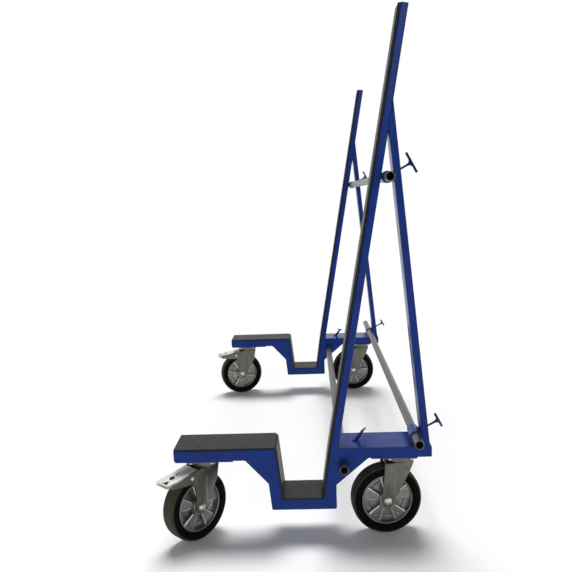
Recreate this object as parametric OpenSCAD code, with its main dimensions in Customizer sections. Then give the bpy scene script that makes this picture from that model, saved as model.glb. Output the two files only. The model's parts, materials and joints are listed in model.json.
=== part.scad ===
// Panel trolley: two padded side frames with leaning masts, three sliding cross tubes
// locked by T-handle clamp screws, and four swivel casters, the front two with a brake.
// Millimetres. +Z is up, the frames run along X, and the cross tubes run along Y.
// The origin is on the floor under the middle of the whole trolley.

/* [Side frames] */
// Length of each side frame
frame_l = 718; // [690:1:760]
// Width of each side frame
frame_w = 120; // [112:1:140]
// Distance between the same faces of the two frames
frame_spacing = 1420; // [700:10:1480]
// Height of the beams' top above the floor
deck_h = 269; // [266:1:272]
// Depth of the beams
beam_h = 30; // [28:1:32]
// Length of the raised platform
platform_l = 284; // [270:1:290]
// Height of the well's floor above the ground
well_floor_h = 122; // [118:1:126]
// Length of the well's floor
well_floor_l = 119; // [112:1:124]
// Thickness of the folded sheets and side plates
sheet_t = 3; // [2:0.5:4]
// Thickness of the plates that the casters bolt to
mount_plate_t = 4; // [3:0.5:4]

/* [Masts] */
// Height of the mast's top front edge
mast_h = 1441; // [1200:1:1500]
// Lean of the mast from the vertical
mast_lean = 10.1; // [9.5:0.1:10.5]
// Depth of the mast and strut tube
bar_depth = 20; // [18:1:22]
// Width of the mast and strut tube
bar_width = 60; // [50:1:60]
// Wall of the mast and strut tube
bar_wall = 2; // [1.5:0.5:3]
// Lean of the strut from the vertical
strut_lean = 5.3; // [5:0.1:5.6]
// Distance from the strut's foot to the frame's rear end
strut_inset = 4.5; // [3:0.5:6]

/* [Rubber] */
// Thickness of the platform pad
platform_pad_t = 6; // [4:0.5:8]
// Thickness of the pad on the well's front wall
wall_pad_t = 5.5; // [4:0.5:7]
// Thickness of the pad on the well's floor
floor_pad_t = 4; // [3:0.5:6]
// Thickness of the strip on the mast
mast_strip_t = 7; // [5:0.5:8]

/* [Cross tubes] */
// Outside diameter of a cross tube
tube_od = 25; // [24:0.5:25]
// Bore of a cross tube
tube_bore = 20; // [18:0.5:21]
// Length of a cross tube
tube_l = 1700; // [1600:10:1800]
// How far the upper tube stands out of the near frame
upper_proud = 63; // [40:1:80]
// How far the rear tube stands out of the near frame
rear_proud = 65; // [40:1:70]
// How far the front tube stands out of the near frame
front_proud = 39; // [20:1:60]
// Outside diameter of the sleeves
sleeve_od = 32; // [31:0.5:33]
// Bore of the sleeves
sleeve_bore = 25.7; // [25.6:0.05:26.2]

/* [Clamp screws] */
// Diameter of the screw's spindle
spindle_d = 6; // [5:0.5:6]
// Length of the T bar
grip_l = 60; // [50:1:64]
// Diameter of the T bar
grip_d = 7; // [6:0.5:8]
// Rise of the upper and rear screws above the horizontal
side_rise = 28; // [26:1:30]
// Rise of the front screw above the horizontal
front_rise = 52; // [51:1:53]
// Distance from the tube's axis to the T bar, upper and rear screws
side_reach = 76; // [74:1:80]
// Distance from the tube's axis to the T bar, front screw
front_reach = 99; // [98:1:106]

/* [Casters] */
// Diameter of the wheels
wheel_d = 200; // [198:1:200]
// Width of the tyres
tyre_w = 48; // [40:1:48]
// Distance of the wheel's axle behind the swivel axis
trail = 40; // [38:1:42]
// Distance of the front swivel axes from the frame's front end
front_swivel_x = 75; // [72:1:76]
// Distance of the rear swivel axes from the frame's rear end
rear_swivel_inset = 83.5; // [76:0.5:86]
// Turn of the near front caster
near_front_turn = 48; // [0:1:60]
// Turn of the near rear caster
near_rear_turn = 7; // [0:1:12]
// Turn of the far front caster
far_front_turn = 17; // [0:1:60]

/* [Hidden] */
$fn = 64;

// Side frame outline, from the frame's front end and the floor
beam_bottom = deck_h - beam_h;
well_x = platform_l + 15;
well_end = well_x + well_floor_l;
well_bottom = well_floor_h - beam_h;
well_run = 22.3;
mast_x = well_end + well_run;
well_lean = atan(well_run / (deck_h - well_floor_h));
strip_cut = mast_strip_t / cos(well_lean);
front_gusset = [[platform_l - 84, beam_bottom], [platform_l - 20.5, beam_bottom - 69.5]];
rear_gusset = [[mast_x + 12.7, beam_bottom - 76.5], [mast_x + 103.2, beam_bottom]];
deck_path = [
    [0, beam_bottom], [0, deck_h], [platform_l, deck_h], [well_x, well_floor_h],
    [well_end, well_floor_h], [mast_x, deck_h], [frame_l, deck_h], [frame_l, beam_bottom]
];
belly_path = [
    [sheet_t, beam_bottom], front_gusset[0], front_gusset[1], [platform_l - 13, well_bottom],
    [mast_x + 12.2, well_bottom], rear_gusset[0], rear_gusset[1],
    [frame_l - sheet_t, beam_bottom]
];
plate_outline = [
    [0, beam_bottom], [0, deck_h], [platform_l, deck_h], [well_x, well_floor_h],
    [well_end, well_floor_h], [mast_x, deck_h], [frame_l, deck_h], [frame_l, beam_bottom],
    rear_gusset[1], rear_gusset[0], [mast_x + 12.2, well_bottom],
    [platform_l - 13, well_bottom], front_gusset[1], front_gusset[0]
];
plate_corner_r = [6, 2, 2, 3, 3, 0, 2, 4, 8, 6, 5, 5, 6, 8];

// Mast and strut, where their faces cross a height
mast_run = tan(mast_lean);
strut_run = tan(strut_lean);
mast_cut = bar_depth / cos(mast_lean);
strut_cut = bar_depth / cos(strut_lean);
cap_t = 2;
cap_plug = 14;
function mast_front(z) = mast_x + (z - deck_h) * mast_run;
function mast_rear(z) = mast_front(z) + mast_cut;
function strut_rear(z) = frame_l - strut_inset - (z - deck_h) * strut_run;
function strut_front(z) = strut_rear(z) - strut_cut;
function meet_h(gap) = deck_h + gap / (mast_run + strut_run);

// Cross tube axes
weld_gap = 0.15;
sleeve_r = sleeve_od / 2;
upper_h = 1006;
rear_h = deck_h + 29;
upper_axis = [mast_rear(upper_h) + (sleeve_r + weld_gap) / cos(mast_lean), upper_h];
rear_axis = [strut_front(rear_h) - (sleeve_r + weld_gap) / cos(strut_lean), rear_h];
front_axis = [mast_x + 34, deck_h - 48.3];
sleeve_l = bar_width;

// Clamp screws
tip_gap = 0.3;
thread_gap = 0.05;
hole_gap = 0.5;
web_w = 24;
web_h = 9;
web_t = 5;
boss_od = 10.4;
boss_top = front_reach - web_h - grip_d / 2 - 0.5;
collar_d = 18.6;
collar_t = 4;
collar_run = (deck_h - front_axis[1]) / tan(front_rise);
// Turn of each T bar about its own screw: upper, rear, front
near_grips = [0, 30, 72];
far_grips = [25, 48, 68];

// Casters
caster_h = beam_bottom - mount_plate_t;
top_plate_t = 4;
top_plate_size = [85, 105];
bolt_spacing = [60, 80];
bolt_d = 8;
bolt_hole_d = 8.6;
bolt_hex_d = 15;
bolt_head_h = 5.3;
nut_h = 6.5;
wheel_r = wheel_d / 2;
cheek_y = 27;
cheek_t = 3.5;
crown_t = 3.5;
crown_top = caster_h - 24;
drum_r = 44;
drum_top = caster_h - 10;
race_r = 38;
kingpin_d = 12;
axle_d = 12;
pin_gap = 0.05;
rim_r = 72.8;
bearing_r = 16;
hub_half = 25;
swivel_x = [front_swivel_x, frame_l - rear_swivel_inset];
swivel_turn = [[near_front_turn, near_rear_turn], [far_front_turn, 0]];
mount_plate_x = [[3, 166], [frame_l - 167, frame_l - 38]];

// Fork cheeks: outline from the swivel axis and the floor, closed at the axle
axle_x = -trail;
lobe_r = 17.5;
cheek_foot = [[-25.5, 91.2], [axle_x, wheel_r], [axle_x - lobe_r, wheel_r + 2]];
plain_cheek = concat(
    [[35, crown_top], [24.6, 185.4], [-9, 122.4]], cheek_foot,
    [[-50, 161], [-45, crown_top]]
);
brake_cheek = concat(
    [[30, crown_top], [22, 167], [-5, 123]], cheek_foot,
    [[-55, 151], [-57.5, 170], [-64, 176], [-136, 184.5], [-141, 188], [-141, 194.5],
     [-74, crown_top - 3.5], [-29, crown_top]]
);

// Brake pedal
pedal_pivot = [-68, 194];
pedal_pin_d = 6;
pedal_half = 26.5;
pedal_t = 2;
pedal_reach = 152;
pedal_path = [[-52, 203], [-92, 202.5], [-147, 198], [-pedal_reach, 189]];

// Origin: under the middle of the whole trolley
low_x = swivel_x[0] - pedal_reach * cos(far_front_turn) - pedal_half * sin(far_front_turn);
high_x = rear_axis[0] + side_reach * cos(side_rise)
    + (grip_l / 2 * cos(near_grips[1]) + 1) * sin(side_rise) + grip_d / 2 * cos(side_rise);
low_y = frame_w / 2 - pedal_reach * sin(near_front_turn) - pedal_half * cos(near_front_turn);
high_y = tube_l - front_proud;
origin = [(low_x + high_x) / 2, (low_y + high_y) / 2];

// Colours
paint_blue = [0.10, 0.17, 0.38];
rubber_black = [0.13, 0.13, 0.12];
steel_grey = [0.38, 0.38, 0.36];
zinc = [0.60, 0.60, 0.55];
cast_silver = [0.72, 0.72, 0.70];
tyre_black = [0.07, 0.07, 0.07];
screw_blue = [0.07, 0.10, 0.24];
cap_black = [0.06, 0.06, 0.07];

// ---- Outline helpers ----

function unit(v) = v / norm(v);
function left_normal(a, b) = let (d = unit(b - a)) [-d[1], d[0]];
function at(list, i) = list[(i + len(list)) % len(list)];

// The path moved sideways by t, to the left of its direction, with mitred corners
function offset_path(path, t) = [
    for (i = [0 : len(path) - 1])
        let (
            last = len(path) - 1,
            n1 = left_normal(path[max(i - 1, 0)], path[max(i, 1)]),
            n2 = left_normal(path[min(i, last - 1)], path[min(i + 1, last)])
        )
        path[i] + t * (n1 + n2) / (1 + n1 * n2)
];

// The outline of a sheet of thickness t that lies to the left of the path
function sheet_outline(path, t) =
    let (inner = offset_path(path, t))
    concat(path, [for (i = [len(path) - 1 : -1 : 0]) inner[i]]);

// The points of an arc of radius r that rounds the corner at p
function corner_arc(before, p, after, r, steps = 5) =
    let (
        d1 = unit(before - p),
        d2 = unit(after - p),
        half = acos(d1 * d2) / 2,
        centre = p + unit(d1 + d2) * r / sin(half),
        start = p + d1 * r / tan(half) - centre,
        end = p + d2 * r / tan(half) - centre,
        a1 = atan2(start[1], start[0]),
        sweep = atan2(start[0] * end[1] - start[1] * end[0], start * end)
    )
    [for (k = [0 : steps]) centre + r * [cos(a1 + sweep * k / steps), sin(a1 + sweep * k / steps)]];

// The closed outline with each corner rounded to its radius, or left sharp at 0
function rounded_outline(points, radii) = [
    for (i = [0 : len(points) - 1])
        each radii[i] > 0
            ? corner_arc(at(points, i - 1), points[i], at(points, i + 1), radii[i])
            : [points[i]]
];

// ---- Placing helpers ----

// An XZ outline as a solid from y0 to y1
module slab(y0, y1)
    translate([0, y1, 0]) rotate([90, 0, 0]) linear_extrude(y1 - y0) children();

// A round bar along Y from y0 to y1, on an XZ point
module bar_y(point, d, y0, y1)
    translate([point[0], y1, point[1]]) rotate([90, 0, 0]) cylinder(d = d, h = y1 - y0);

module at_frame(side)
    translate([-origin[0], side * frame_spacing - origin[1], 0]) children();

module at_swivel(side, end)
    at_frame(side) translate([swivel_x[end], frame_w / 2, 0]) children();

module at_fork(side, end)
    at_swivel(side, end) rotate([0, 0, swivel_turn[side][end]]) children();

// The children's Z axis becomes the wheel's axle
module at_axle(side, end)
    at_fork(side, end) translate([axle_x, 0, wheel_r]) rotate([90, 0, 0]) children();

// The children's Z axis becomes the clamp screw's axis, from the tube's axis outwards
module at_screw(axis, y, rise)
    translate([axis[0], y, axis[1]]) rotate([0, 90 - rise, 0]) children();

module at_bolts() {
    for (end = [0, 1], x = [-0.5, 0.5], y = [-0.5, 0.5])
        translate([swivel_x[end] + x * bolt_spacing[0], frame_w / 2 + y * bolt_spacing[1], 0])
            children();
}

module bolt_holes()
    at_bolts() translate([0, 0, caster_h - 1]) cylinder(d = bolt_hole_d, h = beam_h);

// ---- Side frame ----

module side_plates() color(paint_blue)
    for (y = [0, frame_w - sheet_t])
        difference() {
            slab(y, y + sheet_t) polygon(rounded_outline(plate_outline, plate_corner_r));
            bar_y(front_axis, sleeve_od + 2 * weld_gap, y - 1, y + sheet_t + 1);
        }

module deck_skin() color(paint_blue)
    difference() {
        slab(sheet_t, frame_w - sheet_t) polygon(sheet_outline(deck_path, -sheet_t));
        at_screw(front_axis, frame_w / 2, front_rise)
            cylinder(d = boss_od + 2 * weld_gap, h = front_reach);
    }

module belly_skin() color(paint_blue)
    difference() {
        slab(sheet_t, frame_w - sheet_t) polygon(sheet_outline(belly_path, sheet_t));
        bolt_holes();
    }

module mount_plates() color(paint_blue)
    difference() {
        for (span = mount_plate_x)
            translate([span[0], sheet_t, caster_h])
                cube([span[1] - span[0], frame_w - 2 * sheet_t, mount_plate_t]);
        bolt_holes();
    }

// The mast's side outline, with d taken off its front and rear faces
module mast_outline(d) {
    along = [sin(mast_lean), cos(mast_lean)];
    across = [cos(mast_lean), -sin(mast_lean)];
    top = [mast_front(mast_h), mast_h] - cap_t * along;
    side = d / cos(mast_lean);
    polygon([
        [mast_front(deck_h) + side, deck_h], top + d * across,
        top + (bar_depth - d) * across, [mast_rear(deck_h) - side, deck_h]
    ]);
}

module mast() color(paint_blue)
    difference() {
        slab(0, bar_width) mast_outline(0);
        slab(bar_wall, bar_width - bar_wall) mast_outline(bar_wall);
    }

// The strut's side outline, with d taken off its front and rear faces
module strut_outline(d) {
    side = d / cos(strut_lean);
    throat = meet_h(strut_front(deck_h) + side - mast_rear(deck_h));
    top = meet_h(strut_rear(deck_h) - side - mast_rear(deck_h));
    polygon([
        [strut_front(deck_h) + side, deck_h], [mast_rear(throat), throat],
        [mast_rear(top), top], [strut_rear(deck_h) - side, deck_h]
    ]);
}

module strut() color(paint_blue)
    difference() {
        slab(0, bar_width) strut_outline(0);
        slab(bar_wall, bar_width - bar_wall) strut_outline(bar_wall);
        for (axis = [upper_axis, rear_axis])
            at_screw(axis, bar_width / 2, side_rise)
                cylinder(d = spindle_d + 2 * hole_gap, h = side_reach);
    }

module sleeve(axis, length)
    difference() {
        bar_y(axis, sleeve_od, 0, length);
        bar_y(axis, sleeve_bore, -1, length + 1);
    }

module front_boss()
    difference() {
        union() {
            at_screw(front_axis, frame_w / 2, front_rise)
                translate([0, 0, sleeve_r - 1]) cylinder(d = boss_od, h = boss_top - sleeve_r + 1);
            translate([front_axis[0] + collar_run, frame_w / 2, deck_h])
                cylinder(d = collar_d, h = collar_t);
        }
        bar_y(front_axis, sleeve_bore, -1, frame_w + 1);
    }

module sleeves() color(paint_blue)
    difference() {
        union() {
            sleeve(upper_axis, sleeve_l);
            sleeve(rear_axis, sleeve_l);
            sleeve(front_axis, frame_w);
            front_boss();
        }
        for (axis = [upper_axis, rear_axis])
            at_screw(axis, bar_width / 2, side_rise)
                cylinder(d = spindle_d + 2 * thread_gap, h = sleeve_od);
        at_screw(front_axis, frame_w / 2, front_rise)
            cylinder(d = spindle_d + 2 * thread_gap, h = front_reach);
    }

module platform_pad() color(rubber_black)
    translate([0, 0, deck_h]) cube([platform_l, frame_w, platform_pad_t]);

module well_pads() color(rubber_black) {
    lean = atan((well_x - platform_l) / (deck_h - well_floor_h));
    slope = tan(lean);
    pad_cut = wall_pad_t / cos(lean);
    top = deck_h + 1.5;
    bottom = well_floor_h + floor_pad_t;
    rear_end = well_end + floor_pad_t * tan(well_lean);
    slab(0, frame_w) polygon([
        [well_x - (bottom - well_floor_h) * slope, bottom],
        [platform_l, deck_h], [platform_l, top],
        [platform_l - (top - deck_h) * slope + pad_cut, top],
        [well_x - (bottom - well_floor_h) * slope + pad_cut, bottom]
    ]);
    for (part = [[0, bar_width, strip_cut], [bar_width, frame_w, 0]])
        slab(part[0], part[1]) polygon([
            [well_x, well_floor_h], [well_end - part[2], well_floor_h],
            [rear_end - part[2], bottom], [well_x - floor_pad_t * slope, bottom]
        ]);
}

// One strip down the mast's front and the well's rear wall, to the well's floor
module mast_strip() color(rubber_black) {
    foot = [well_end, well_floor_h];
    along = [sin(mast_lean), cos(mast_lean)];
    top = [mast_front(mast_h), mast_h] - cap_t * along;
    knee = offset_path([foot, [mast_x, deck_h], top], mast_strip_t)[1];
    slab(0, bar_width) polygon([
        foot, foot - [strip_cut, 0],
        knee, top - mast_strip_t * [cos(mast_lean), -sin(mast_lean)], top, [mast_x, deck_h]
    ]);
}

// A thin plastic lid with a hollow plug that sits inside the mast tube
module mast_cap() color(cap_black) {
    fit = 0.3;
    inside = bar_wall + fit;
    translate([mast_front(mast_h), 0, mast_h]) rotate([0, mast_lean, 0]) {
        translate([0, 0, -cap_t]) cube([bar_depth, bar_width, cap_t]);
        difference() {
            translate([inside, inside, -cap_t - cap_plug])
                cube([bar_depth - 2 * inside, bar_width - 2 * inside, cap_plug]);
            translate([2 * inside, 2 * inside, -cap_t - cap_plug - 1])
                cube([bar_depth - 4 * inside, bar_width - 4 * inside, cap_plug]);
        }
    }
}

module caster_bolts() color(zinc)
    at_bolts() {
        shank_bottom = caster_h - top_plate_t;
        nut_bottom = beam_bottom + sheet_t;
        translate([0, 0, shank_bottom - bolt_head_h])
            cylinder(d = bolt_hex_d, h = bolt_head_h, $fn = 6);
        translate([0, 0, shank_bottom]) cylinder(d = bolt_d, h = nut_bottom + nut_h - shank_bottom);
        translate([0, 0, nut_bottom]) cylinder(d = bolt_hex_d, h = nut_h, $fn = 6);
    }

// ---- Clamp screws ----

// Spindle, tapering web and T bar on the screw's own Z axis
module clamp_screw(reach, turn) color(screw_blue) {
    tip = tube_od / 2 + tip_gap;
    web_bottom = reach - grip_d / 2 - web_h;
    translate([0, 0, tip]) cylinder(d = spindle_d, h = reach - tip);
    rotate([0, 0, turn]) {
        translate([0, web_t / 2, 0]) rotate([90, 0, 0]) linear_extrude(web_t)
            difference() {
                translate([-web_w / 2, web_bottom]) square([web_w, reach - web_bottom]);
                for (side = [-1, 1])
                    translate([side * web_w / 2, web_bottom]) circle(r = web_w / 2 - spindle_d / 2);
            }
        translate([-grip_l / 2, 0, reach]) rotate([0, 90, 0]) cylinder(d = grip_d, h = grip_l);
    }
}

module upper_screw(grips)
    at_screw(upper_axis, bar_width / 2, side_rise) clamp_screw(side_reach, grips[0]);

module rear_screw(grips)
    at_screw(rear_axis, bar_width / 2, side_rise) clamp_screw(side_reach, grips[1]);

module front_screw(grips)
    at_screw(front_axis, frame_w / 2, front_rise) clamp_screw(front_reach, grips[2]);

// ---- Casters ----

// Fixed plate with the upper ball race, the ball ring and the riveted kingpin
module top_plate() color(zinc) {
    ball_d = 9;
    ball_ring_r = 31;
    rivet_d = 22;
    race_bottom = crown_top + 11.5;
    rivet_top = crown_top - crown_t - 0.3;
    pin_bottom = rivet_top - 5.2;
    difference() {
        translate([-top_plate_size[0] / 2, -top_plate_size[1] / 2, caster_h - top_plate_t])
            cube([top_plate_size[0], top_plate_size[1], top_plate_t]);
        for (x = [-0.5, 0.5], y = [-0.5, 0.5])
            translate([x * bolt_spacing[0], y * bolt_spacing[1], caster_h - 2 * top_plate_t])
                cylinder(d = bolt_hole_d, h = 3 * top_plate_t);
    }
    translate([0, 0, race_bottom])
        cylinder(r = race_r, h = caster_h - top_plate_t - race_bottom);
    translate([0, 0, race_bottom - ball_d / 2])
        rotate_extrude() translate([ball_ring_r, 0]) circle(d = ball_d, $fn = 24);
    translate([0, 0, pin_bottom]) cylinder(d = kingpin_d, h = race_bottom - pin_bottom + 1);
    translate([0, 0, pin_bottom]) cylinder(d = rivet_d, h = rivet_top - pin_bottom);
}

// Two cheeks, the crown between them and the swivel drum on top
module fork(cheek, crown_x) color(zinc) {
    drum_floor = 2;
    drum_wall = 3;
    boss_h = 7;
    difference() {
        union() {
            for (y = [-cheek_y - cheek_t, cheek_y])
                slab(y, y + cheek_t) {
                    polygon(cheek);
                    translate([axle_x, wheel_r]) circle(r = lobe_r);
                }
            translate([crown_x[0], -cheek_y - cheek_t, crown_top - crown_t])
                cube([crown_x[1] - crown_x[0], 2 * (cheek_y + cheek_t), crown_t]);
            translate([0, 0, crown_top - crown_t]) cylinder(r = drum_r - 0.5, h = crown_t);
            translate([0, 0, crown_top]) difference() {
                cylinder(r = drum_r, h = drum_top - crown_top);
                translate([0, 0, drum_floor]) cylinder(r = drum_r - drum_wall, h = drum_top);
            }
            translate([0, 0, crown_top]) cylinder(d = kingpin_d + 8, h = boss_h);
        }
        translate([0, 0, crown_top - 10]) cylinder(d = kingpin_d + 2 * pin_gap, h = 30);
        translate([axle_x, cheek_y + 10, wheel_r]) rotate([90, 0, 0])
            cylinder(d = axle_d + 2 * pin_gap, h = 2 * cheek_y + 20);
        if (cheek == brake_cheek)
            bar_y(pedal_pivot, pedal_pin_d + 2 * pin_gap, -cheek_y - 10, cheek_y + 10);
    }
}

// Axle bolt with a washer at each end, a low head and a thin nut
module axle() color(zinc) {
    face = cheek_y + cheek_t;
    washer_d = 22;
    washer_t = 1.5;
    hex_d = 19;
    head_h = 4;
    translate([0, 0, -face - washer_t - head_h])
        cylinder(d = axle_d, h = 2 * (face + washer_t + head_h) - 1);
    for (z = [-face - washer_t, face]) translate([0, 0, z]) cylinder(d = washer_d, h = washer_t);
    for (z = [-face - washer_t - head_h, face + washer_t])
        translate([0, 0, z]) cylinder(d = hex_d, h = head_h, $fn = 6);
}

module bearings() color(cast_silver) {
    width = 10;
    for (z = [-hub_half, hub_half - width])
        translate([0, 0, z]) difference() {
            cylinder(r = bearing_r, h = width);
            translate([0, 0, -1]) cylinder(d = axle_d + 2 * pin_gap, h = width + 2);
        }
}

// Cast rim: hub, web, ribs and the tyre's seat
module rim() color(cast_silver) {
    seat_half = 20;
    web_half = 5;
    rib_half = 12;
    rib_count = 5;
    hub_r = 24;
    seat_in = rim_r - 6;
    difference() {
        union() {
            translate([0, 0, -hub_half]) cylinder(r = hub_r, h = 2 * hub_half);
            translate([0, 0, -web_half]) cylinder(r = rim_r - 1, h = 2 * web_half);
            translate([0, 0, -seat_half]) difference() {
                cylinder(r = rim_r, h = 2 * seat_half);
                translate([0, 0, -1]) cylinder(r = seat_in, h = 2 * seat_half + 2);
            }
            for (k = [0 : rib_count - 1]) rotate([0, 0, k * 360 / rib_count])
                translate([hub_r - 1, -4, -rib_half]) cube([seat_in - hub_r + 2, 8, 2 * rib_half]);
        }
        translate([0, 0, -hub_half - 1]) cylinder(r = bearing_r, h = 2 * hub_half + 2);
    }
}

// Solid tyre with a rounded tread
module tyre() color(tyre_black) {
    half = tyre_w / 2;
    section = [
        [rim_r, -half + 2], [rim_r + 4, -half], [wheel_r - 9, -half], [wheel_r, -half + 11],
        [wheel_r, half - 11], [wheel_r - 9, half], [rim_r + 4, half], [rim_r, half - 2]
    ];
    rotate_extrude($fn = 96) polygon(rounded_outline(section, [0, 2, 9, 9, 9, 9, 2, 0]));
}

// Pressed pedal between the fork's arms, with its shoe over the tyre and two pivot rivets
module brake_pedal() color(zinc) {
    ear_t = 2;
    shoe_half = 18;
    rivet_d = 10;
    rivet_face = cheek_y + cheek_t + 0.3;
    rivet_h = 1.6;
    ear = [[-58, 203], [-58, 190], [-78, 188], [-92, 193], [-147, 191], [-147, 198], [-92, 202.5]];
    shoe = [[-88, 202], [-88, 192.5], [-104, 184.5], [-104, 201]];
    slab(-pedal_half, pedal_half) polygon(sheet_outline(pedal_path, pedal_t));
    for (y = [-pedal_half, pedal_half - ear_t]) slab(y, y + ear_t) polygon(ear);
    slab(-shoe_half, shoe_half) polygon(shoe);
    for (side = [0, 1]) mirror([0, side, 0]) {
        bar_y(pedal_pivot, pedal_pin_d, pedal_half - ear_t, rivet_face + rivet_h);
        bar_y(pedal_pivot, rivet_d, rivet_face, rivet_face + rivet_h);
    }
}

// ---- Cross tubes ----

module cross_tube(axis, proud) color(steel_grey)
    at_frame(0) difference() {
        bar_y(axis, tube_od, -proud, tube_l - proud);
        bar_y(axis, tube_bore, -proud - 1, tube_l - proud + 1);
    }

at_frame(0) side_plates();  // near_side_plates
at_frame(0) deck_skin();  // near_deck_skin
at_frame(0) belly_skin();  // near_belly_skin
at_frame(0) mount_plates();  // near_mount_plates
at_frame(0) mast();  // near_mast
at_frame(0) strut();  // near_strut
at_frame(0) sleeves();  // near_sleeves
at_frame(0) platform_pad();  // near_platform_pad
at_frame(0) well_pads();  // near_well_pads
at_frame(0) mast_strip();  // near_mast_strip
at_frame(0) mast_cap();  // near_mast_cap
at_frame(0) caster_bolts();  // near_caster_bolts
at_frame(0) upper_screw(near_grips);  // near_upper_screw
at_frame(0) rear_screw(near_grips);  // near_rear_screw
at_frame(0) front_screw(near_grips);  // near_front_screw
at_swivel(0, 0) top_plate();  // near_front_top_plate
at_fork(0, 0) fork(brake_cheek, [-29, 30]);  // near_front_fork
at_axle(0, 0) axle();  // near_front_axle
at_axle(0, 0) bearings();  // near_front_bearings
at_axle(0, 0) rim();  // near_front_rim
at_axle(0, 0) tyre();  // near_front_tyre
at_fork(0, 0) brake_pedal();  // near_brake_pedal
at_swivel(0, 1) top_plate();  // near_rear_top_plate
at_fork(0, 1) fork(plain_cheek, [-45, 35]);  // near_rear_fork
at_axle(0, 1) axle();  // near_rear_axle
at_axle(0, 1) bearings();  // near_rear_bearings
at_axle(0, 1) rim();  // near_rear_rim
at_axle(0, 1) tyre();  // near_rear_tyre
at_frame(1) side_plates();  // far_side_plates
at_frame(1) deck_skin();  // far_deck_skin
at_frame(1) belly_skin();  // far_belly_skin
at_frame(1) mount_plates();  // far_mount_plates
at_frame(1) mast();  // far_mast
at_frame(1) strut();  // far_strut
at_frame(1) sleeves();  // far_sleeves
at_frame(1) platform_pad();  // far_platform_pad
at_frame(1) well_pads();  // far_well_pads
at_frame(1) mast_strip();  // far_mast_strip
at_frame(1) mast_cap();  // far_mast_cap
at_frame(1) caster_bolts();  // far_caster_bolts
at_frame(1) upper_screw(far_grips);  // far_upper_screw
at_frame(1) rear_screw(far_grips);  // far_rear_screw
at_frame(1) front_screw(far_grips);  // far_front_screw
at_swivel(1, 0) top_plate();  // far_front_top_plate
at_fork(1, 0) fork(brake_cheek, [-29, 30]);  // far_front_fork
at_axle(1, 0) axle();  // far_front_axle
at_axle(1, 0) bearings();  // far_front_bearings
at_axle(1, 0) rim();  // far_front_rim
at_axle(1, 0) tyre();  // far_front_tyre
at_fork(1, 0) brake_pedal();  // far_brake_pedal
at_swivel(1, 1) top_plate();  // far_rear_top_plate
at_fork(1, 1) fork(plain_cheek, [-45, 35]);  // far_rear_fork
at_axle(1, 1) axle();  // far_rear_axle
at_axle(1, 1) bearings();  // far_rear_bearings
at_axle(1, 1) rim();  // far_rear_rim
at_axle(1, 1) tyre();  // far_rear_tyre
cross_tube(upper_axis, upper_proud);  // upper_cross_tube
cross_tube(rear_axis, rear_proud);  // rear_cross_tube
cross_tube(front_axis, front_proud);  // front_cross_tube
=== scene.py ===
import json
import math

import bmesh
import bpy
from mathutils import Matrix, Vector


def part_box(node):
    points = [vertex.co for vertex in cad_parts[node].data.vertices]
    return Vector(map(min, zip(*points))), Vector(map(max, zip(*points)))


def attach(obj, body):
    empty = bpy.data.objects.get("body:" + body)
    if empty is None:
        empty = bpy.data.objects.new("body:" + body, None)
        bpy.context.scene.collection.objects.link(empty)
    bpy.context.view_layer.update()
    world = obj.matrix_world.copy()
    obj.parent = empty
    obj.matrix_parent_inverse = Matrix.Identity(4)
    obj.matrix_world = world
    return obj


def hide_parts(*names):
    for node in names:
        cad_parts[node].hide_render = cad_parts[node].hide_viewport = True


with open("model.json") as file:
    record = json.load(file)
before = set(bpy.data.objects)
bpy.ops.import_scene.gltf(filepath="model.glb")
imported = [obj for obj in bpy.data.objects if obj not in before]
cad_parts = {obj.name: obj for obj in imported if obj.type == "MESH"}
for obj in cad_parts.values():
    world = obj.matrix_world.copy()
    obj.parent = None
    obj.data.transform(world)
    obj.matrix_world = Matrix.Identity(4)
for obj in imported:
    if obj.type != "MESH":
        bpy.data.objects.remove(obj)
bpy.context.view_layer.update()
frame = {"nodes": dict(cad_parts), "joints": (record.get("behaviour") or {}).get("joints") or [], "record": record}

# Lengths are in metres. MM turns millimetres into metres.
MM = 0.001
JOINTS = {j["name"]: j for j in frame["joints"]}
SLOT_OF = {s["node"]: s["material_slot"] for s in frame["record"]["subparts"]}
SIDES = ("near", "far")
ENDS = ("front", "rear")

# Vertices nearer than this are one: in new meshes, and in the CAD's
MERGE = 1e-6
CAD_MERGE = 2e-5
# Neighbouring CAD faces that turn less than this are one flat face
FLAT_ANGLE = math.radians(0.6)

# The corner of the near side frame: its platform end, near face and the floor
CORNER = Vector((*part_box("near_side_plates")[0].xy, 0))
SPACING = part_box("far_side_plates")[0].y - CORNER.y
# Mast and strut tube: the deck that they stand on, their section and how far each leans
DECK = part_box("near_mast")[0].z
BAR_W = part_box("near_mast")[1].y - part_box("near_mast")[0].y
BAR_D = 20 * MM
BAR_CORNER_R = 3 * MM
MAST_LEAN = math.radians(10.1)
STRUT_LEAN = math.radians(5.3)
# Cross tubes and the sleeves round them
TUBE_R = 12.5 * MM
TUBE_BORE = 10 * MM
SLEEVE_R = 16 * MM
# Wheels: the tyre's radius, its seat on the rim and half its width
WHEEL_R = JOINTS["near_rear_wheel_spin"]["pos_m"][2]
RIM_R = 72.8 * MM
TYRE_HALF = 24 * MM
# Forks, measured from the floor below the swivel axis
CROWN_TOP = 211 * MM
CROWN_T = 3.5 * MM
CROWN_RISE = 7 * MM
CHEEK_Y = 30.5 * MM
AXLE_X = -40 * MM
LOBE_R = 17.5 * MM
AXLE_BORE_R = 6.1 * MM
PIN_BORE_R = 11.3 * MM
# The swivel head's lower race
DRUM_R = 37 * MM
DRUM_TOP = 226 * MM
# Turn of each clamp screw's grip about the screw, in degrees
GRIP_TURN = {
    ("near", "upper"): 0, ("near", "rear"): 30, ("near", "front"): 72,
    ("far", "upper"): 25, ("far", "rear"): 48, ("far", "front"): 68,
}
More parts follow.
